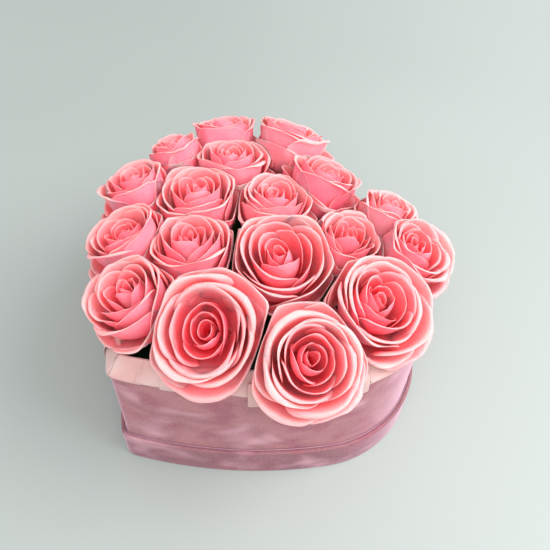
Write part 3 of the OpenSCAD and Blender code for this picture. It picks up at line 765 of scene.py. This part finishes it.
def rolled(local, near, u, v, s, outer, look, rng):
    """The petal with its lip rolled outward and crinkled, and how much of a lip each point is."""
    spread, _, ruffle, _, pointed, *_ = look
    along = np.gradient(local, axis=0)
    n, along = unit(np.cross(np.gradient(local, axis=1), along)), unit(along)
    roll = 0.7 + 3.8 * outer**1.8
    q = np.clip(1 - near / ((2.2 + 1.6 * roll) * MM), 0, 1) * smooth(s, 0.15, 0.5)
    curl = roll * MM * (0.45 + 0.45 * spread) * (1 + 0.7 * waves(rng, 2 * u, v, 3))
    curl = curl * (1 - (0.2 + 0.4 * pointed) * np.exp(-(u / 0.25) ** 2))
    crinkle = (0.4 + 1.6 * ruffle) * MM * (0.2 + 0.8 * outer) * q * waves(rng, u, v, 9, 5)
    return local + n * (curl * q**2 + crinkle)[..., None] - along * (0.7 * curl * q**3)[..., None], q


def petal(rose, look, whorl, guard, turn, rng):
    """The grid of one petal where it stands, with its thickness and attributes."""
    spread, sink, ruffle, pale, pointed, hollow, shift_x, shift_y = look
    radius, height, width, inner = whorl[1:]
    outer = 1 - inner
    radius = radius * (1 + 1.4 * (hollow - 0.18) * smooth(inner, 0.2, 0.6)) + 0.06 * spread * guard
    height = height * (1 - guard * rng.uniform(0, 0.16)) - 0.12 * spread * guard
    big, tall = BLOOM_R * rose.size, BLOOM_H
    u = np.linspace(-1, 1, ACROSS)[None, :]
    v = (np.linspace(0, 1, ALONG) ** 0.72)[:, None]
    flare = (0.24 * spread + 0.04) * outer**1.5 - 0.05 * inner
    radius = radius * rng.uniform(0.95, 1.04)
    height = height * rng.uniform(0.945, 1.015) - sink * MM / tall * inner**1.2

    # Round the axis the petal narrows to its foot, and along it follows its profile
    s = v * petal_crown(u, inner, ruffle, pointed, rng)
    profile = spline(petal_profile(inner, radius, height, flare), s)
    reach = np.radians(width) * rng.uniform(0.92, 1.10) * (0.42 + 0.58 * smooth(s, 0, 0.55))
    phi = turn + u * reach
    r, z = profile[..., 0], profile[..., 1]
    r = r * (1 - 0.06 * u - 0.03 * u**2 * outer) + 0.030 * s * waves(rng, 2 * u, 2 * v, 2)
    r = r + rng.uniform(-0.03, 0.04) * outer * s**2

    # A rose that leans is seen aslant: its middle whorls are oval, and the guard petals on its
    # low side, which no neighbour holds, hang lower and further out
    outward = np.cos(phi) * rose.side_lean[0] + np.sin(phi) * rose.side_lean[1]
    oval = (0.03 + 1.0 * max(hollow - 0.2, 0)) * (2 * outward**2 - 1)
    r = r * (1 + oval * smooth(inner, 0.2, 0.6))
    free = rose.free * np.clip(outward + 0.4, 0, 1)
    reach_out = 0.14 * free * (1 - 0.9 * spread) + 0.20 * (1 - free)
    r = r * (1 + guard * reach_out * smooth(s, 0.3, 1))
    z = z - guard * (0.42 * free * (1 - spread) + 0.14 * (1 - free)) * s**2
    local = np.stack([r * big * np.cos(phi), r * big * np.sin(phi), z * tall], -1)

    # The heart of the bloom stands a little to one side
    heart_shift = rose.across(shift_x * MM, shift_y * MM)
    local = local + (inner**0.8 * s**1.5)[..., None] * heart_shift
    near = near_margin(u, v, np.gradient(local, axis=0), reach * np.maximum(r, 0.05) * big)
    local, q = rolled(local, near, u, v, s, outer, look, rng)
    points = rose.pressed(rose.place(local))
    # deep: inner petals take the deeper colour, and a wider hollow round the heart adds painted shade
    # there.
    return points, PETAL_T - (PETAL_T - LIP_T) * q, {
        "up": s, "across": u + 0 * v,
        "lip": (0.5 + 0.5 * outer) * np.clip(1 - near / ((3 + 4 * outer) * MM), 0, 1),
        "deep": inner * (0.55 + 1.8 * hollow), "tint": rng.uniform(0, 1),
        "pale": pale * (0.3 + 0.7 * outer)}


def bloom(name, rose, look, material, seed):
    """All the petals of one rose."""
    rng = np.random.default_rng(seed)
    patches = Patches(2 * sum(whorl[0] for whorl in WHORLS))
    turn = rose.spin
    for w, whorl in enumerate(WHORLS):
        for k in range(whorl[0]):
            at = turn + 2 * math.pi * k / whorl[0] + rng.uniform(-0.2, 0.2)
            grid, thickness, values = petal(rose, look, whorl, w == 0, at, rng)
            patches.shell(grid, thickness, **values)
        turn += math.pi / whorl[0] + rng.uniform(-0.3, 0.3)
    return patches.build(name, material)


# ---- Stems ----------------------------------------------------------------------------------------
SEPALS = 5


def tube(points, radii, sides=20):
    """A grid of rings along points, for a shell that is closed round."""
    forward = unit(np.gradient(points, axis=0))
    e1 = unit(np.cross(forward, [0.3, 1, 0.1]))
    e2 = np.cross(forward, e1)
    a = np.linspace(0, 2 * math.pi, sides, endpoint=False)[None, :, None]
    return points[:, None] + radii[:, None, None] * (np.cos(a) * e1[:, None] + np.sin(a) * e2[:, None])


def sepal(rose, k, rng):
    """One sepal: a narrow leaf that bends down from the top of the hip."""
    u = np.linspace(-1, 1, 9)[None, :]
    v = np.linspace(0, 1, 18)[:, None]
    phi = rose.spin + 2 * math.pi * k / SEPALS
    width = 2.4 * MM * np.sin(math.pi * np.clip(0.18 + 0.82 * v, 0, 1)) ** 0.8
    out = HIP_R * 0.85 + 7.5 * MM * np.sin(1.5 * v) * rng.uniform(0.8, 1.0)
    down = HIP_H * 0.95 - (11 * MM * v**1.5) * rng.uniform(0.85, 1.0)
    side = np.array([-math.sin(phi), math.cos(phi), 0])
    away = np.array([math.cos(phi), math.sin(phi), 0])
    cup = 0.35 * width * u**2
    local = (out + 0 * u)[..., None] * away + (u * width)[..., None] * side
    local = local + (down - HIP_H + cup)[..., None] * np.array([0, 0, 1.0])
    return rose.place(local)


def stem(name, rose, material, seed):
    """Stem, hip and sepals of one rose."""
    rng = np.random.default_rng(seed)
    patches = Patches(2 * (4 + SEPALS))
    t = np.linspace(0, 1, 26)[:, None]
    line = rose.tip + t * (rose.neck - rose.tip)
    bow = 1 + 0.05 * np.sin(9 * t[:, 0] + rng.uniform(0, 6))
    bow[-4:] *= np.linspace(1, 1.12, 4)
    patches.shell(tube(line, (STEM_R - 0.5 * MM) * bow), 0.8 * MM, around=True)
    heights = np.linspace(-0.02, 1.0, 12)
    bulge = np.interp(heights, [0, 0.15, 0.5, 0.8, 1.0], [0.42, 0.62, 0.93, 0.96, 0.78]) * HIP_R
    hip = rose.neck + (heights * HIP_H)[:, None] * rose.up
    patches.shell(tube(hip, bulge - 0.4 * MM), 0.8 * MM, around=True)
    for end, radius in ((rose.tip, STEM_R - 0.9 * MM), (rose.base, 0.7 * HIP_R)):
        a = np.linspace(0, 2 * math.pi, 20, endpoint=False)
        disc = [end + r * radius * (np.cos(a)[:, None] * rose.e1 + np.sin(a)[:, None] * rose.e2)
                for r in np.linspace(0.05, 1, 4)]
        patches.shell(np.array(disc), 0.5 * MM, around=True)
    for k in range(SEPALS):
        patches.shell(sepal(rose, k, rng), 0.6 * MM)
    return patches.build(name, material)


# ---- Stage ----------------------------------------------------------------------------------------
PHOTO_SIDE = 550
FOCAL_PIXELS = 654.4
CAMERA_AT = Vector((0.2448, -0.2130, 0.5324))
CAMERA_AZIMUTH, CAMERA_ELEVATION, CAMERA_ROLL = 44.43, 50.85, 2.87
# The floor's near colours are painted darker than its far colour: painted shade round the object.
FLOOR_COLOURS, FLOOR_FAR = (linear(162, 168, 165), linear(155, 161, 158)), linear(224, 230, 227)
BACKDROP_COLOUR, SKY_COLOUR = linear(206, 212, 209), linear(236, 238, 238)
# Each lamp: the way to it from the object, its distance, size and power
LAMPS = {"key": ((0.70, 0.55, 0.95), 1.4, 1.1, 23), "fill": ((0.62, -0.60, 1.05), 1.5, 1.1, 16)}


def add_camera():
    a, e, r = map(math.radians, (CAMERA_AZIMUTH, CAMERA_ELEVATION, CAMERA_ROLL))
    back = Vector((math.sin(a) * math.cos(e), -math.cos(a) * math.cos(e), math.sin(e)))
    right = Vector((math.cos(a), math.sin(a), 0))
    up = back.cross(right)
    x = right * math.cos(r) + up * math.sin(r)
    y = up * math.cos(r) - right * math.sin(r)
    data = bpy.data.cameras.new("camera")
    data.sensor_width = 36
    data.lens = FOCAL_PIXELS / PHOTO_SIDE * data.sensor_width
    data.clip_start, data.clip_end = 0.02, 20
    camera = bpy.data.objects.new("camera", data)
    camera.matrix_world = Matrix((x, y, back)).transposed().to_4x4()
    camera.location = CAMERA_AT
    bpy.context.scene.collection.objects.link(camera)
    bpy.context.scene.camera = camera


def add_lamp(name, towards, distance, size, power):
    """A square soft light that shines on the middle of the object from a direction."""
    data = bpy.data.lights.new(name, "AREA")
    data.shape, data.size, data.energy = "SQUARE", size, power
    lamp = bpy.data.objects.new(name, data)
    target = Vector((0, 0, 0.1))
    direction = Vector(towards).normalized()
    lamp.location = target + direction * distance
    lamp.rotation_mode = "QUATERNION"
    lamp.rotation_quaternion = direction.to_track_quat("Z", "Y")
    bpy.context.scene.collection.objects.link(lamp)


def add_stage():
    """A pale floor, painted darker near the object as painted shade and paler far away, two soft lamps
    and a dim pale sky.
    """
    m = Shader("floor", 0.9, **{"Specular IOR Level": 0.1})
    cloud = m.ramp(m.noise(m.where(), 1.2, 2), 0.3, 0.7)
    # Painted shade: the floor goes from the darker near colours round the object to the paler far one.
    away = m.node("ShaderNodeVectorMath", {0: m.where()}, operation="LENGTH").outputs["Value"]
    near = m.mix(cloud, *FLOOR_COLOURS)
    floor_material = m.finish(Base_Color=m.mix(m.ramp(away, 0.3, 2.5), near, FLOOR_FAR))
    bm = bmesh.new()
    bmesh.ops.create_grid(bm, x_segments=2, y_segments=2, size=8)
    mesh = bpy.data.meshes.new("floor")
    bm.to_mesh(mesh)
    bm.free()
    finished(bpy.data.objects.new("floor", mesh), floor_material)
    for name, lamp in LAMPS.items():
        add_lamp(name, *lamp)
    world = bpy.data.worlds.new("world")
    world.use_nodes = True
    nodes, links = world.node_tree.nodes, world.node_tree.links
    seen = nodes.new("ShaderNodeLightPath").outputs["Is Camera Ray"]
    mix = nodes.new("ShaderNodeMix")
    mix.data_type = "RGBA"
    mix.inputs[6].default_value, mix.inputs[7].default_value = SKY_COLOUR, BACKDROP_COLOUR
    links.new(seen, mix.inputs[0])
    links.new(mix.outputs[2], nodes["Background"].inputs["Color"])
    nodes["Background"].inputs["Strength"].default_value = 1.0
    bpy.context.scene.world = world
    bpy.context.scene.view_settings.view_transform = "Standard"


# ---- Put together -----------------------------------------------------------------------------------
def dress_box():
    """Velvet, ribbon and the materials of the CAD pieces that stay."""
    wall = velvet_material("wall_velvet", linear(162, 110, 114), linear(142, 92, 98))
    # The lid's velvet, also used under the box's base, is the wall's velvet painted darker: painted
    # shade on the lower part of the box.
    lid = velvet_material("lid_velvet", linear(132, 88, 95), linear(114, 69, 77))
    obj = piece(velvet_wall(wall), "box", "velvet", "wall_cover")
    obj = piece(velvet_lid(lid), "lid", "velvet", "lid_cover")
    turn_up = LID_Z + VELVET_T
    heart_area(LID_OUT_D) + 2 * HALF_LEN * turn_up
    ribbon = ribbon_material()
    rng = np.random.default_rng(SEED)
    obj, flat = collar_gather(ribbon, rng)
    piece(obj, "box", "ribbon", "collar_pleats")
    obj, flat = collar_band(ribbon)
    piece(obj, "box", "ribbon", "collar_strip")
    for k, row in enumerate(ENDS):
        obj, flat = ribbon_end(f"ribbon_end_{k + 1}", row, ribbon, rng)
        piece(obj, "box", "ribbon", "collar_ends")
    board = paper_material("grey_board", linear(150, 146, 138), linear(128, 124, 118))
    white = paper_material("lining_paper", linear(236, 232, 226), linear(224, 218, 212), 90)
    rose_paper = paper_material("lid_paper", linear(190, 146, 162), linear(176, 130, 148), 90)
    kept = {
        "lid_rim_board": board, "lid_panel_board": board, "lid_rim_lining": rose_paper,
        "lid_panel_lining": rose_paper, "wall_board": board, "wall_lining": white,
        "base_cover": lid, "base_board": board, "base_lining": white,
        "film_liner": film_material(), "foam_block": foam_material(),
    }
    for node, material in kept.items():
        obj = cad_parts[node]
        obj.data.materials.clear()
        obj.data.materials.append(material)


def dress_roses():
    roses = [Rose(row) for row in ROSES]
    for rose in roses:
        for other in roses:
            if other is not rose:
                rose.meet(other)
    petals, green = petal_material(), green_material()
    for k, (rose, look) in enumerate(zip(roses, LOOKS)):
        number = f"{k + 1:02d}"
        piece(bloom(f"bloom_{number}_petals", rose, look, petals, SEED + k), f"rose_{number}",
              "petals", f"bloom_{number}")
        piece(stem(f"stem_{number}_green", rose, green, SEED + 100 + k), f"rose_{number}",
              "rose_green", f"stem_{number}")


def main():
    add_camera()
    add_stage()
    dress_box()
    dress_roses()


main()
